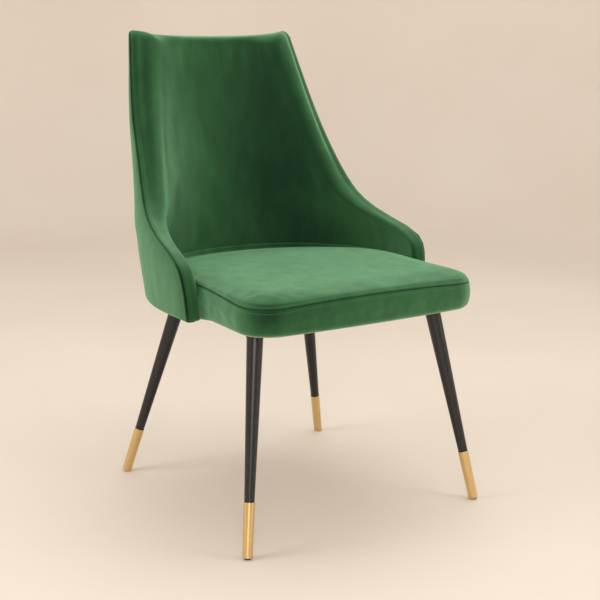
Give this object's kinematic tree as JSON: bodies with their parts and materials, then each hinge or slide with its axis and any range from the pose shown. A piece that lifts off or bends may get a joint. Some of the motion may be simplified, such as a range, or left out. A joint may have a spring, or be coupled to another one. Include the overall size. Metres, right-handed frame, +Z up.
{
  "type": "dining chair",
  "caption": "Upholstered dining chair with a winged wrap-around back, a boxed seat cushion and splayed tapered steel legs with brass-finished tips.",
  "frame": {"origin": "on the floor, under the middle of the chair's bounding box", "axes": "+Z up; the chair faces -Y; +X is to the right of a viewer facing the chair's front; the plane X = 0 is the plane of symmetry"},
  "size_m": [0.5899, 0.644, 0.9397],
  "materials": {
    "velvet": "green velvet, short pile with a bright sheen at grazing angles",
    "foam": "open-cell upholstery foam and polyester wadding",
    "plywood": "unfinished birch plywood",
    "dust_cloth": "black non-woven dust cloth",
    "black_steel": "satin black powder coat",
    "brass_tip": "satin brushed brass finish",
    "zinc_steel": "zinc plated",
    "glide_plastic": "matte"
  },
  "bodies": {
    "root": {"leg_tube_front_right": "black_steel", "leg_tube_front_left": "black_steel", "leg_tube_rear_right": "black_steel", "leg_tube_rear_left": "black_steel", "leg_plate_front_right": "black_steel", "leg_plate_front_left": "black_steel", "leg_plate_rear_right": "black_steel", "leg_plate_rear_left": "black_steel", "leg_sleeve_front_right": "brass_tip", "leg_sleeve_front_left": "brass_tip", "leg_sleeve_rear_right": "brass_tip", "leg_sleeve_rear_left": "brass_tip", "foot_glide_front_right": "glide_plastic", "foot_glide_front_left": "glide_plastic", "foot_glide_rear_right": "glide_plastic", "foot_glide_rear_left": "glide_plastic", "leg_bolts": "zinc_steel", "leg_washers": "zinc_steel", "leg_tee_nuts": "zinc_steel", "shell_screws": "zinc_steel", "cover_staples": "zinc_steel", "base_board": "plywood", "back_ply_shell": "plywood", "dust_cover": "dust_cloth", "seat_foam": "foam", "back_foam": "foam", "back_wadding": "foam", "seat_top_cover": "velvet", "seat_boxing_cover": "velvet", "back_inner_cover": "velvet", "outer_side_panel_right": "velvet", "outer_side_panel_left": "velvet", "outer_back_panel": "velvet"}
  },
  "joints": []
}
